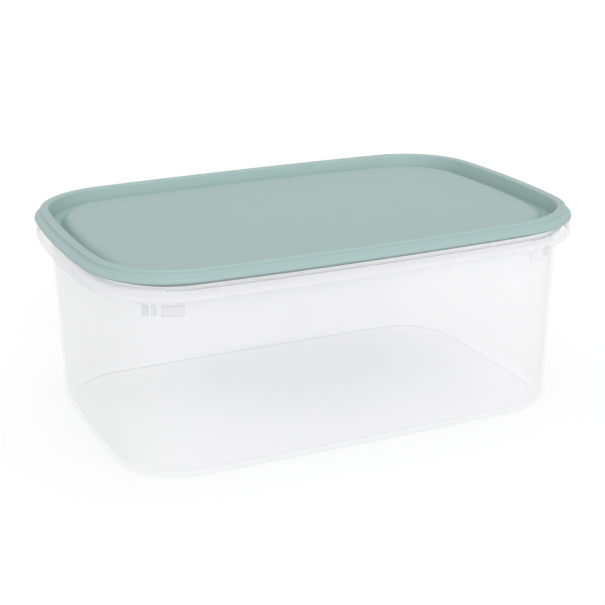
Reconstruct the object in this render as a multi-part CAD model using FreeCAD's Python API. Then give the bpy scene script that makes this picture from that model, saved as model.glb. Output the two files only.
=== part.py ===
import FreeCAD, Part
import math
import os

os.makedirs("parts", exist_ok=True)

# A food storage box of about five litres: an open moulded tub and a press-on lid.
# Millimetres. X runs along the box, Y across it, Z up from the table, with the
# origin under the middle of the box. "Inset" is always the distance in from the
# widest line of the lid's brim, measured square to it.

# ---------------------------------------------------------------- sizes
# Plan of the closed box at the brim's widest line
brim_length = 300.0
brim_width = 203.5
brim_corner = 51.8
long_side_bow = 2.5
short_side_bow = 2.3

# Tub: base, wall and floor
tub_height = 103.7
tub_wall = 1.4
floor_thickness = 1.6
wall_inset = 8.4
base_inset_ends = 12.4
base_inset_sides = 13.7
base_corner = 40.9
base_bow = 0.9
base_edge_radius = 3.0
floor_edge_radius = 4.5
foot_width = 7.2
foot_depth = 0.6

# Tub: turned-down skirt, ledge under the lid and upright lip
skirt_height = 8.1
skirt_top_inset = 1.2
skirt_foot_inset = 0.3
skirt_edge_radius = 1.0
skirt_foot_radius = 0.6
lip_edge_radius = 0.7
lip_step_start = 0.6
lip_step_lean = 45.0
lip_step_radius = 1.2
bead_reach = 0.3
bead_height = 1.0
bead_radius = 0.3
finger_gap_drop = 1.4
finger_gap_end_angle = 20.0
finger_gap_web = 1.4

# Tub: stacking lugs inside each corner, as angles round the corner from the long side
lug_height = 7.6
lug_below_skirt = 3.2
lug_reach = 3.2
lug_taper = 0.6
lug_sunk = 0.4
lug_edge_radius = 0.8
lug_angles = [(10.0, 27.0), (31.5, 34.5), (37.5, 42.0)]

# Lid: brim bead, shoulder, neck, rim and moat
lid_wall = 1.4
lid_seat_gap = 0.3
brim_edge_inset = 3.2
brim_widest_height = 1.65
brim_widest_band = 0.85
brim_widest_radius = 0.6
groove_depth = 0.3
groove_band = 0.6
nose_height = 3.6
nose_radius = 0.7
shoulder_rise = 1.7
shoulder_radius = 1.0
catch_height = 1.0
neck_inset = 3.4
rim_height = 7.9
rim_outer_radius = 0.9
rim_inner_inset = 8.3
rim_inner_radius = 1.1
moat_depth = 10.0
moat_wall_inset = 10.6
moat_wall_radius = 3.0
moat_floor_inset = 13.0
moat_floor_gap = 0.3

# Lid: raised panel inside the moat
panel_corner = 35.7
panel_edge_inset = 19.9
panel_rise = 5.2
panel_foot_inset = 14.2
panel_foot_radius = 1.4
panel_slope = 55.0
panel_edge_radius = 6.0
panel_flat_inset = 30.0

# Fit of the lid on the tub: play beside and above the lip, and how far the lid's catch
# reaches past the lip's bead, so that the lid presses on
lip_clearance = 0.5
lip_top_clearance = 0.5
catch_bite = 0.05
lip_inset = neck_inset + lid_wall + lip_clearance
lip_height = rim_height + lid_seat_gap - lid_wall - lip_top_clearance
catch_reach = lip_clearance - bead_reach + catch_bite

# Share of a straight run that a rounded corner may use, and the least length that counts
share_of_shared_run = 0.48
share_of_own_run = 0.96
least_length = 1e-6
level_tolerance = 1e-3

# ---------------------------------------------------------------- heights
skirt_foot = tub_height
ledge = skirt_foot + skirt_height
lip_top = ledge + lip_height
brim_edge = ledge + lid_seat_gap
rim_top = brim_edge + rim_height
moat_floor = rim_top - moat_depth
panel_top = moat_floor + panel_rise


# ---------------------------------------------------------------- plan outlines
def plan_arcs(length, width, corner, long_bow, short_bow):
    """Eight tangent arcs of a rounded rectangle with bowed sides.

    Each arc is (centre, radius, start angle, sweep angle), anticlockwise from the +X end.
    """
    half_x = length / 2 - corner
    half_y = width / 2 - corner
    long_radius = (half_x ** 2 + long_bow ** 2) / (2 * long_bow)
    short_radius = (half_y ** 2 + short_bow ** 2) / (2 * short_bow)
    long_centre = FreeCAD.Vector(0, width / 2 - long_radius, 0)
    short_centre = FreeCAD.Vector(length / 2 - short_radius, 0, 0)

    # The corner's centre lies where both side arcs can touch the corner arc.
    reach_long = long_radius - corner
    reach_short = short_radius - corner
    between = short_centre - long_centre
    span = between.Length
    along = (span ** 2 + reach_long ** 2 - reach_short ** 2) / (2 * span)
    across = math.sqrt(reach_long ** 2 - along ** 2)
    unit = between / span
    centre = long_centre + unit * along + FreeCAD.Vector(unit.y, -unit.x, 0) * across
    from_long = centre - long_centre
    from_short = centre - short_centre
    low = math.degrees(math.atan2(from_short.y, from_short.x))
    high = math.degrees(math.atan2(from_long.y, from_long.x))

    arcs = []
    for quarter in range(4):
        mirror_x = -1 if quarter in (1, 2) else 1
        mirror_y = -1 if quarter in (2, 3) else 1
        corner_centre = FreeCAD.Vector(centre.x * mirror_x, centre.y * mirror_y, 0)
        if quarter % 2 == 0:
            side_centre = short_centre * mirror_x
            arcs.append((side_centre, short_radius, 90.0 * quarter - low, 2 * low))
            arcs.append((corner_centre, corner, 90.0 * quarter + low, high - low))
        else:
            side_centre = long_centre * mirror_y
            arcs.append((side_centre, long_radius, 90.0 * (quarter - 1) + high, 180.0 - 2 * high))
            arcs.append((corner_centre, corner, 90.0 * (quarter + 1) - high, high - low))
    return arcs


def polar(centre, radius, degrees, height=0.0):
    """Point on a level circle."""
    turn = math.radians(degrees)
    return FreeCAD.Vector(centre.x + radius * math.cos(turn), centre.y + radius * math.sin(turn), height)


def outline(arcs, inset, height):
    """Closed level wire at an inset from the plan arcs."""
    edges = []
    for centre, radius, start, sweep in arcs:
        ends = [polar(centre, radius - inset, start + sweep * share, height) for share in (0.0, 0.5, 1.0)]
        edges.append(Part.Arc(ends[0], ends[1], ends[2]).toShape())
    return Part.Wire(edges)


# ---------------------------------------------------------------- sections
def rounded_section(corners):
    """Face in the XZ plane from (inset, height, corner radius) points, outwards along +X.

    A radius takes at most half of a straight run that ends in another round corner,
    and the whole of one that ends in a sharp corner, less a short straight stretch.
    """
    points = [FreeCAD.Vector(-inset, 0, height) for inset, height, _ in corners]
    count = len(points)
    entries = []
    for index in range(count):
        point = points[index]
        before = points[index - 1] - point
        after = points[(index + 1) % count] - point
        half_angle = before.getAngle(after) / 2
        round_before = corners[index - 1][2] > 0
        round_after = corners[(index + 1) % count][2] > 0
        share_before = share_of_shared_run if round_before else share_of_own_run
        share_after = share_of_shared_run if round_after else share_of_own_run
        room = min(before.Length * share_before, after.Length * share_after)
        trim = min(corners[index][2] / math.tan(half_angle), room)
        radius = trim * math.tan(half_angle)
        before.normalize()
        after.normalize()
        middle = before + after
        if trim < least_length or middle.Length < least_length:
            entries.append((point, None, point))
            continue
        middle.normalize()
        deep = radius / math.sin(half_angle) - radius
        entries.append((point + before * trim, point + middle * deep, point + after * trim))
    edges = []
    for index in range(count):
        start, deepest, end = entries[index]
        if deepest is not None:
            edges.append(Part.Arc(start, deepest, end).toShape())
        edges.append(Part.LineSegment(end, entries[(index + 1) % count][0]).toShape())
    return Part.Face(Part.Wire(edges))


def carry(section, arcs):
    """Solid made by carrying a section round a chain of plan arcs."""
    pieces = []
    for centre, radius, start, sweep in arcs:
        face = section.copy()
        face.translate(FreeCAD.Vector(radius, 0, 0))
        face.rotate(FreeCAD.Vector(0, 0, 0), FreeCAD.Vector(0, 0, 1), start)
        face.translate(centre)
        pieces.append(face.revolve(centre, FreeCAD.Vector(0, 0, 1), sweep))
    if len(pieces) == 1:
        return pieces[0]
    return pieces[0].multiFuse(pieces[1:])


def is_corner(index):
    """Every second plan arc is a corner."""
    return index % 2 == 1


def long_side_first(index):
    """Whether the corner arc starts at a long side, going anticlockwise."""
    return index in (3, 7)


# ---------------------------------------------------------------- tub
brim_arcs = plan_arcs(brim_length, brim_width, brim_corner, long_side_bow, short_side_bow)
base_arcs = plan_arcs(
    brim_length - 2 * base_inset_ends,
    brim_width - 2 * base_inset_sides,
    base_corner,
    base_bow,
    base_bow,
)


def tub_body():
    """Tapered wall and floor up to the foot of the skirt, with a shallow recess under the floor."""
    floor_top = foot_depth + floor_thickness
    foot = outline(base_arcs, 0, 0)
    shoulder = outline(brim_arcs, wall_inset, tub_height)
    outside = Part.makeLoft([foot, shoulder], True, True)
    low_edges = [edge for edge in outside.Edges if edge.BoundBox.ZMax < level_tolerance]
    outside = outside.makeFillet(base_edge_radius, low_edges)

    share = floor_top / tub_height
    lean = [
        (base_inset_ends - wall_inset) * share,
        (base_inset_sides - wall_inset) * share,
    ]
    floor_arcs = plan_arcs(
        brim_length - 2 * base_inset_ends + 2 * lean[0],
        brim_width - 2 * base_inset_sides + 2 * lean[1],
        base_corner,
        base_bow,
        base_bow,
    )
    hollow = Part.makeLoft(
        [outline(floor_arcs, tub_wall, floor_top), outline(brim_arcs, wall_inset + tub_wall, tub_height)],
        True,
        True,
    )
    low_edges = [edge for edge in hollow.Edges if edge.BoundBox.ZMax < floor_top + level_tolerance]
    hollow = hollow.makeFillet(floor_edge_radius, low_edges)
    recess = Part.Face(outline(base_arcs, foot_width, 0)).extrude(FreeCAD.Vector(0, 0, foot_depth))
    return outside.cut(hollow).cut(recess)


def rim_section(ledge_height):
    """Tub's top edge: stepped wall, ledge with its turned-down skirt, and upright lip with a snap bead."""
    lip_inner = lip_inset + tub_wall
    wall_inner = wall_inset + tub_wall
    step_lean = math.radians(lip_step_lean)
    low = tub_height + lip_step_start
    high = low + (wall_inset - lip_inset) / math.tan(step_lean)
    offset = tub_wall * math.tan(step_lean / 2)
    lean = (skirt_top_inset - skirt_foot_inset) / skirt_height
    outer_top = skirt_foot_inset + lean * (ledge_height - skirt_foot)
    bead_low = lip_top - 2 * bead_height
    return rounded_section([
        (wall_inset, tub_height, 0),
        (wall_inset, low, lip_step_radius),
        (lip_inset, high, lip_step_radius),
        (lip_inset, ledge_height - tub_wall, 0),
        (outer_top + tub_wall, ledge_height - tub_wall, 0),
        (skirt_foot_inset + tub_wall, skirt_foot, 0),
        (skirt_foot_inset, skirt_foot, skirt_foot_radius),
        (outer_top, ledge_height, skirt_edge_radius),
        (lip_inset, ledge_height, 0),
        (lip_inset, bead_low, 0),
        (lip_inset - bead_reach, bead_low + bead_height / 2, bead_radius),
        (lip_inset - bead_reach, lip_top, lip_edge_radius),
        (lip_inner, lip_top, 0),
        (lip_inner, high + offset, lip_step_radius + tub_wall),
        (wall_inner, low + offset, lip_step_radius + tub_wall),
        (wall_inner, tub_height, 0),
    ])


def tub_rim():
    """Rim all round, with a lower ledge along each long side that lets fingers under the lid."""
    high_arcs = []
    low_arcs = []
    web_arcs = []
    web_angle = math.degrees(finger_gap_web / brim_corner)
    for index, (centre, radius, start, sweep) in enumerate(brim_arcs):
        if not is_corner(index):
            chain = low_arcs if index in (2, 6) else high_arcs
            chain.append((centre, radius, start, sweep))
        elif long_side_first(index):
            split = start + finger_gap_end_angle
            low_arcs.append((centre, radius, start, finger_gap_end_angle))
            high_arcs.append((centre, radius, split, sweep - finger_gap_end_angle))
            web_arcs.append((centre, radius, split, web_angle))
        else:
            split = start + sweep - finger_gap_end_angle
            high_arcs.append((centre, radius, start, sweep - finger_gap_end_angle))
            low_arcs.append((centre, radius, split, finger_gap_end_angle))
            web_arcs.append((centre, radius, split - web_angle, web_angle))
    low_ledge = ledge - finger_gap_drop
    web = rounded_section([
        (lip_inset + tub_wall / 2, low_ledge - tub_wall, 0),
        (skirt_top_inset + tub_wall / 2, low_ledge - tub_wall, 0),
        (skirt_top_inset + tub_wall / 2, ledge - tub_wall / 2, 0),
        (lip_inset + tub_wall / 2, ledge - tub_wall / 2, 0),
    ])
    high = rim_section(ledge)
    low = rim_section(low_ledge)
    pieces = [carry(high, [arc]) for arc in high_arcs]
    pieces += [carry(low, [arc]) for arc in low_arcs]
    pieces += [carry(web, [arc]) for arc in web_arcs]
    return pieces


def stacking_lugs():
    """Short pads inside the corners that hold nested tubs apart."""
    top = tub_height - lug_below_skirt
    back = wall_inset + tub_wall - lug_sunk
    front = wall_inset + tub_wall + lug_reach
    section = rounded_section([
        (back, top - lug_height, 0),
        (front - lug_taper, top - lug_height, lug_edge_radius),
        (front, top - lug_reach, lug_edge_radius),
        (back, top, 0),
    ])
    lugs = []
    for index, (centre, radius, start, sweep) in enumerate(brim_arcs):
        if not is_corner(index):
            continue
        for first, last in lug_angles:
            begin = start + first if long_side_first(index) else start + sweep - last
            lugs.append(carry(section, [(centre, radius, begin, last - first)]))
    return lugs


def make_tub():
    """Whole tub as one moulding."""
    return tub_body().multiFuse(tub_rim() + stacking_lugs()).removeSplitter()


# ---------------------------------------------------------------- lid
def lid_rim_section():
    """Brim bead, shoulder, neck, rounded rim and the moat's outer wall."""
    widest = brim_edge + brim_widest_height
    groove = widest + brim_widest_band + groove_band
    nose = brim_edge + nose_height
    neck_low = nose + shoulder_rise
    neck_inner = neck_inset + lid_wall
    catch_inset = neck_inner + catch_reach
    lean = (moat_wall_inset - rim_inner_inset) / moat_depth
    reach = lid_wall * math.sqrt(1 + lean ** 2)
    return rounded_section([
        (brim_edge_inset, brim_edge, 0),
        (0, widest, brim_widest_radius),
        (0, widest + brim_widest_band, brim_widest_radius),
        (groove_depth, groove, 0),
        (groove_depth, nose, nose_radius),
        (neck_inset, neck_low, shoulder_radius),
        (neck_inset, rim_top, rim_outer_radius),
        (rim_inner_inset, rim_top, rim_inner_radius),
        (moat_wall_inset, moat_floor, moat_wall_radius),
        (moat_floor_inset, moat_floor, 0),
        (moat_floor_inset, moat_floor - lid_wall, 0),
        (moat_wall_inset - reach + lean * lid_wall, moat_floor - lid_wall, moat_wall_radius + lid_wall),
        (rim_inner_inset - reach + lean * lid_wall, rim_top - lid_wall, 0),
        (neck_inner, rim_top - lid_wall, 0),
        (neck_inner, neck_low, 0),
        (catch_inset, brim_edge + catch_height, 0),
        (catch_inset, brim_edge, 0),
    ])


def panel_section():
    """Soft shoulder from the moat's floor up to the raised panel."""
    slope = math.radians(panel_slope)
    crest_inset = panel_foot_inset + panel_rise / math.tan(slope)
    shift = lid_wall * math.tan(slope / 2)
    start = moat_floor_inset + moat_floor_gap
    return rounded_section([
        (start, moat_floor, 0),
        (panel_foot_inset, moat_floor, panel_foot_radius),
        (crest_inset, panel_top, panel_edge_radius),
        (panel_flat_inset, panel_top, 0),
        (panel_flat_inset, panel_top - lid_wall, 0),
        (crest_inset + shift, panel_top - lid_wall, 0),
        (panel_foot_inset + shift, moat_floor - lid_wall, 0),
        (start, moat_floor - lid_wall, 0),
    ])


def make_lid():
    """Whole lid as one moulding."""
    panel_arcs = plan_arcs(
        brim_length,
        brim_width,
        panel_corner + panel_edge_inset,
        long_side_bow,
        short_side_bow,
    )
    up = FreeCAD.Vector(0, 0, lid_wall)
    floor_outside = Part.Face(outline(brim_arcs, moat_floor_inset, moat_floor - lid_wall))
    floor_inside = Part.Face(outline(panel_arcs, moat_floor_inset + moat_floor_gap, moat_floor - lid_wall))
    floor = floor_outside.cut(floor_inside).extrude(up)
    panel = Part.Face(outline(panel_arcs, panel_flat_inset, panel_top - lid_wall)).extrude(up)
    rim = [carry(lid_rim_section(), [arc]) for arc in brim_arcs]
    shoulder = [carry(panel_section(), [arc]) for arc in panel_arcs]
    return floor.multiFuse(rim + shoulder + [panel]).removeSplitter()


# ---------------------------------------------------------------- write the parts
for node, shape in (("tub", make_tub()), ("lid", make_lid())):
    solids = shape.Solids
    print(node, "solids", len(solids), "valid", shape.isValid(), "volume", round(shape.Volume / 1000, 2), "cm3")
    solids[0].exportStep(f"parts/{node}.step")
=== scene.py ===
import math

import bpy
from mathutils import Matrix, Vector

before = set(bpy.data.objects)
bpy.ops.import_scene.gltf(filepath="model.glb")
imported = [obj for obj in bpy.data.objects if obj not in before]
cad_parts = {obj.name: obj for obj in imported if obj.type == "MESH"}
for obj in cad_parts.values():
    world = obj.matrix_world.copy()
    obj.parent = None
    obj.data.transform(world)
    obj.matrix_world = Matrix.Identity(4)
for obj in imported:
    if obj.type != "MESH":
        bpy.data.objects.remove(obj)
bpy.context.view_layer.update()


# ---------------------------------------------------------------- tub
# The tub is one injection moulding of clear polypropylene with a faint frost: tapered walls of
# 1.4 mm, a floor on a low ring, and a turned-down skirt, a ledge and an upright lip for the lid.
# It looks densest in the left stacking lugs and hazy in the skirt, and clearest from the ledge up.

class Wire:
    """One output of a node. Arithmetic on it adds the Math node that does the same."""

    def __init__(self, finish, socket):
        self.finish = finish
        self.socket = socket

    def maths(self, operation, first, second):
        return self.finish.node("ShaderNodeMath", {"operation": operation}, {0: first, 1: second})

    def __add__(self, other):
        return self.maths("ADD", self, other)

    def __sub__(self, other):
        return self.maths("SUBTRACT", self, other)

    def __rsub__(self, other):
        return self.maths("SUBTRACT", other, self)

    def __mul__(self, other):
        return self.maths("MULTIPLY", self, other)

    def __pow__(self, other):
        return self.maths("POWER", self, other)

    def __abs__(self):
        return self.maths("ABSOLUTE", self, 0.0)

    __radd__ = __add__
    __rmul__ = __mul__

    def rises(self, low, high):
        """0 below low and 1 above high, with a soft step between them."""
        ends = {"Value": self, "From Min": low, "From Max": high}
        return self.finish.node("ShaderNodeMapRange", {"interpolation_type": "SMOOTHSTEP"}, ends)

    def falls(self, low, high):
        """1 below low and 0 above high, with a soft step between them."""
        return self.rises(high, low)


class Finish:
    """The nodes of one material, or of the room's light."""

    def __init__(self, owner):
        owner.use_nodes = True
        self.tree = owner.node_tree
        self.tree.nodes.clear()

    def node(self, kind, settings, sockets, output=0):
        """A node with its settings, then its inputs by name or number. Gives one of its outputs."""
        made = self.tree.nodes.new(kind)
        for name, value in settings.items():
            setattr(made, name, value)
        for name, value in sockets.items():
            if isinstance(value, Wire):
                self.tree.links.new(value.socket, made.inputs[name])
            else:
                made.inputs[name].default_value = value
        if made.outputs:
            return Wire(self, made.outputs[output])

    def axes(self, vector):
        """The x, y and z of a vector."""
        return [self.node("ShaderNodeSeparateXYZ", {}, {0: vector}, axis) for axis in "XYZ"]

    def blend(self, share, first, second):
        """The first colour where share is 0, and the second where it is 1."""
        return self.node("ShaderNodeMix", {"data_type": "RGBA"}, {0: share, 6: first, 7: second}, 2)


def distance(x, y, centre, reach=(1.0, 1.0)):
    """How far a place is from a centre in plan, counted in reaches."""
    aside = abs((x - centre[0]) * (1.0 / reach[0]))
    ahead = abs((y - centre[1]) * (1.0 / reach[1]))
    return (aside ** 2.0 + ahead ** 2.0) ** 0.5


POLYPROPYLENE_IOR = 1.49
TUB_TINT = (0.975, 0.965, 1.0, 1.0)
# The end walls are painted whiter, as painted light: they look lit through from the bright room beyond.
TUB_END_LIT_TINT = (0.99, 0.985, 1.0, 1.0)
# From the skirt up the plastic is painted greyer, as painted shade under the lid's brim.
RIM_SHADED_TINT = (0.85, 0.845, 0.875, 1.0)
LUG_TINT = (0.75, 0.74, 0.77, 1.0)
TUB_GLOSS = 0.30
TUB_GLOSS_DRIFT = 0.08
TUB_CLOUD_SCALE = 18.0
FROST_SCALE = 1400.0
FROST_STRENGTH = 0.15
FROST_DEPTH = 0.0001

# Haze is how solid one face looks. On the walls it keeps clear of a quarter, because a haze that
# drifts across a quarter leaves contour lines in the render.
TUB_HAZE = 0.175
TUB_HAZE_DRIFT = 0.02
GLANCING_HAZE = 0.02     # how much more at a glancing view
GLANCING_FALL = 4.0
RIM_HAZE = 0.20          # how much more from the skirt up
RIM_HEIGHT = (0.1030, 0.1042)
LIP_CLEARNESS = 0.32     # how much less again in the ledge and the thin lip
LIP_HEIGHT = (0.1096, 0.1102)
# The end walls are also made clearer, as painted light that makes them look lit through.
END_LIT_CLEARNESS = 0.07     # how much less in the end walls

# The floor's frost is made densest behind its middle and thins out from there, as painted shade: it stands
# in for the lid's shadow on the back of the floor.
FLOOR_HAZE = 0.040
FLOOR_CLEARNESS = 0.145
FLOOR_TOP = (0.0030, 0.0040)
FLOOR_LEVEL = (0.80, 0.97)    # how level a face of the floor is
FLOOR_SHADE_CENTRE = (0.02, 0.045)
FLOOR_REACH = (0.15, 0.13)
FLOOR_FADE = (0.25, 1.05)

# Stacking lugs stand round the inside of each corner, and only the left ones look dense.
CORNER_CENTRE = (0.0959, 0.0475)
LUG_HAZE = 0.33
LUG_FOOT = (0.0922, 0.0928)
LUG_TOP = (0.1004, 0.1010)
LUG_RADIUS = (0.0402, 0.0410)
LUG_SIDE = (-0.01, 0.01)

# Faint upright flow streaks from moulding run down the rounded corners.
STREAK_HAZE = 0.03
STREAK_STRETCH = (260.0, 260.0, 5.0)
STREAK_HEIGHT = (0.030, 0.080)
STREAK_FADE = 0.01

tub_plastic = bpy.data.materials.new("frosted_clear_plastic")
tub = Finish(tub_plastic)
place = tub.node("ShaderNodeTexCoord", {}, {}, "Object")
length, depth, height = tub.axes(place)
along, across = abs(length), abs(depth)
normal_x, _, normal_z = tub.axes(tub.node("ShaderNodeNewGeometry", {}, {}, "Normal"))
end_on, level = abs(normal_x), abs(normal_z)
facing = tub.node("ShaderNodeLayerWeight", {}, {"Blend": 0.5}, "Facing")
cloud = tub.node("ShaderNodeTexNoise", {}, {"Vector": place, "Scale": TUB_CLOUD_SCALE, "Detail": 3.0})
grain = tub.node("ShaderNodeTexNoise", {}, {"Vector": place, "Scale": FROST_SCALE, "Detail": 2.0})

rim = height.rises(*RIM_HEIGHT)
smooth_floor = height.falls(*FLOOR_TOP) * level.rises(*FLOOR_LEVEL)
unshaded_floor = smooth_floor * distance(length, depth, FLOOR_SHADE_CENTRE, FLOOR_REACH).rises(*FLOOR_FADE)
lugs = distance(along, across, CORNER_CENTRE).falls(*LUG_RADIUS)
lugs = lugs * height.rises(*LUG_FOOT) * height.falls(*LUG_TOP) * length.falls(*LUG_SIDE)
stretched = tub.node("ShaderNodeVectorMath", {"operation": "MULTIPLY"}, {0: place, 1: STREAK_STRETCH})
streak = tub.node("ShaderNodeTexNoise", {}, {"Vector": stretched, "Scale": 1.0, "Detail": 1.0})
streak = streak * height.rises(*STREAK_HEIGHT)
for run, start in zip((along, across), CORNER_CENTRE):
    streak = streak * run.rises(start, start + STREAK_FADE)

haze = TUB_HAZE + TUB_HAZE_DRIFT * (cloud - 0.5) + GLANCING_HAZE * facing ** GLANCING_FALL
# Painted shade: denser frost behind the floor's middle, clearer towards its edges.
haze = haze + FLOOR_HAZE * smooth_floor - FLOOR_CLEARNESS * unshaded_floor
haze = haze + RIM_HAZE * rim - LIP_CLEARNESS * height.rises(*LIP_HEIGHT)
# Painted light: the end walls are made clearer.
haze = haze - END_LIT_CLEARNESS * end_on * height.falls(*RIM_HEIGHT)
haze = haze + LUG_HAZE * lugs + STREAK_HAZE * streak
# Painted light: the end walls are whiter.
tint = tub.blend(end_on, TUB_TINT, TUB_END_LIT_TINT)
# Painted shade: from the skirt up the plastic is greyer under the lid's brim.
tint = tub.blend(rim, tint, RIM_SHADED_TINT)
tint = tub.blend(lugs, tint, LUG_TINT)
frost = {"Strength": FROST_STRENGTH, "Distance": FROST_DEPTH, "Height": grain}
shell = tub.node("ShaderNodeBsdfPrincipled", {}, {
    "Base Color": tint,
    "Roughness": TUB_GLOSS + TUB_GLOSS_DRIFT * (cloud - 0.5),
    "IOR": POLYPROPYLENE_IOR,
    "Alpha": haze,
    "Normal": tub.node("ShaderNodeBump", {}, frost),
})
tub.node("ShaderNodeOutputMaterial", {}, {"Surface": shell})
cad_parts["tub"].material_slots[0].material = tub_plastic


# ---------------------------------------------------------------- lid
# The lid is one moulding of sage green polypropylene with a satin surface. Its brim hooks over
# the tub's lip, and a moat runs inside the rim round a raised panel with soft shoulders.

LID_TINT = (0.328, 0.443, 0.427, 1.0)
LID_TINT_PALE = (0.338, 0.454, 0.438, 1.0)
LID_GLOSS = 0.48
LID_GLOSS_DRIFT = 0.08
LID_SHEEN_LEVEL = 0.25   # under the usual 0.5: the surface is satin
LID_CLOUD_SCALE = 12.0
SATIN_SCALE = 2200.0
SATIN_STRENGTH = 0.2
SATIN_DEPTH = 0.0001

lid_plastic = bpy.data.materials.new("sage_satin_plastic")
lid = Finish(lid_plastic)
place = lid.node("ShaderNodeTexCoord", {}, {}, "Object")
cloud = lid.node("ShaderNodeTexNoise", {}, {"Vector": place, "Scale": LID_CLOUD_SCALE, "Detail": 3.0})
grain = lid.node("ShaderNodeTexNoise", {}, {"Vector": place, "Scale": SATIN_SCALE, "Detail": 2.0})
satin = {"Strength": SATIN_STRENGTH, "Distance": SATIN_DEPTH, "Height": grain}
skin = lid.node("ShaderNodeBsdfPrincipled", {}, {
    "Base Color": lid.blend(cloud, LID_TINT, LID_TINT_PALE),
    "Roughness": LID_GLOSS + LID_GLOSS_DRIFT * (cloud - 0.5),
    "Specular IOR Level": LID_SHEEN_LEVEL,
    "IOR": POLYPROPYLENE_IOR,
    "Normal": lid.node("ShaderNodeBump", {}, satin),
})
lid.node("ShaderNodeOutputMaterial", {}, {"Surface": skin})
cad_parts["lid"].material_slots[0].material = lid_plastic


# ---------------------------------------------------------------- floor
# A wide white table top under the box. What is seen of it is mostly plain white, and the rest
# carries the box's shadow.

TABLE_HALF = 6.0
TABLE_PLAY = 0.0001      # keeps the table clear of the foot ring's flat face
TABLE_TINT = 0.68        # how much light it throws back at the box
SHADOW_SHARE = 0.26
WHITE = (1.0, 1.0, 1.0, 1.0)

sides = ((-1, -1), (1, -1), (1, 1), (-1, 1))
corners = [(x * TABLE_HALF, y * TABLE_HALF, -TABLE_PLAY) for x, y in sides]
floor_mesh = bpy.data.meshes.new("floor")
floor_mesh.from_pydata(corners, [], [(0, 1, 2, 3)])
floor = bpy.data.objects.new("floor", floor_mesh)
bpy.context.scene.collection.objects.link(floor)


def seen_directly(finish):
    """1 for what the camera sees, straight or in gloss and clear plastic, and 0 for light on a surface."""
    straight, gloss, clear = (
        finish.node("ShaderNodeLightPath", {}, {}, f"Is {kind} Ray")
        for kind in ("Camera", "Glossy", "Transmission"))
    return straight + gloss + clear


floor_paint = bpy.data.materials.new("white_floor")
table = Finish(floor_paint)
white = table.node("ShaderNodeEmission", {}, {"Color": WHITE, "Strength": 1.0})
seen = seen_directly(table)
matt = table.node("ShaderNodeBsdfDiffuse", {}, {"Color": TABLE_TINT + (1.0 - TABLE_TINT) * seen})
top = table.node("ShaderNodeMixShader", {}, {0: (1.0 - SHADOW_SHARE) * seen, 1: matt, 2: white})
table.node("ShaderNodeOutputMaterial", {}, {"Surface": top})
floor_mesh.materials.append(floor_paint)


# ---------------------------------------------------------------- light
# A white studio tent: soft light from all round, most of it near the level of the table, with a
# large soft lamp at the front, a little to the left, and a softer one overhead.

ROOM_LIGHT = 0.50
LOW_LIGHT = 1.25
LOW_LIGHT_FALL = 4.0
LAMPS = {
    "key": {"strength": 1.45, "azimuth": -16.0, "elevation": 30.0, "softness": 40.0},
    "overhead": {"strength": 0.7, "azimuth": 0.0, "elevation": 85.0, "softness": 60.0},
}

world = bpy.data.worlds.new("white_room")
bpy.context.scene.world = world
room = Finish(world)
upward = abs(room.axes(room.node("ShaderNodeTexCoord", {}, {}, "Generated"))[2])
glow = ROOM_LIGHT + LOW_LIGHT * (1.0 - upward) ** LOW_LIGHT_FALL
sky = room.node("ShaderNodeBackground", {}, {
    "Color": WHITE,
    "Strength": glow + (1.0 - glow) * seen_directly(room),
})
room.node("ShaderNodeOutputWorld", {}, {"Surface": sky})


def outward(azimuth, elevation):
    """Direction from the object: azimuth 0 is the front, positive to the right, in degrees."""
    turn = math.radians(azimuth)
    rise = math.radians(elevation)
    return Vector((math.sin(turn) * math.cos(rise), -math.cos(turn) * math.cos(rise), math.sin(rise)))


for name, lamp in LAMPS.items():
    light = bpy.data.lights.new(name, "SUN")
    light.energy = lamp["strength"]
    light.angle = math.radians(lamp["softness"])
    holder = bpy.data.objects.new(name, light)
    holder.rotation_euler = outward(lamp["azimuth"], lamp["elevation"]).to_track_quat("Z", "Y").to_euler()
    bpy.context.scene.collection.objects.link(holder)


# ---------------------------------------------------------------- camera
# A little above the box and to the left of its front, about 0.8 m away, with a long lens and a
# slight tilt. It looks at a point near the middle of the box.

VIEW_AZIMUTH = -23.94
VIEW_ELEVATION = 18.83
VIEW_DISTANCE = 0.8315
VIEW_ROLL = -0.70
VIEW_AIM = Vector((0.0, 0.0, 0.0577))
LENS = 81.35
SENSOR = 36.0

back = outward(VIEW_AZIMUTH, VIEW_ELEVATION)
camera_data = bpy.data.cameras.new("camera")
camera_data.lens = LENS
camera_data.sensor_width = SENSOR
camera = bpy.data.objects.new("camera", camera_data)
turn = back.to_track_quat("Z", "Y").to_matrix().to_4x4()
camera.matrix_world = Matrix.Translation(VIEW_AIM + back * VIEW_DISTANCE) @ turn @ Matrix.Rotation(
    math.radians(VIEW_ROLL), 4, "Z")
bpy.context.scene.collection.objects.link(camera)
bpy.context.scene.camera = camera


# ---------------------------------------------------------------- finish
bpy.context.scene.view_settings.view_transform = "Standard"
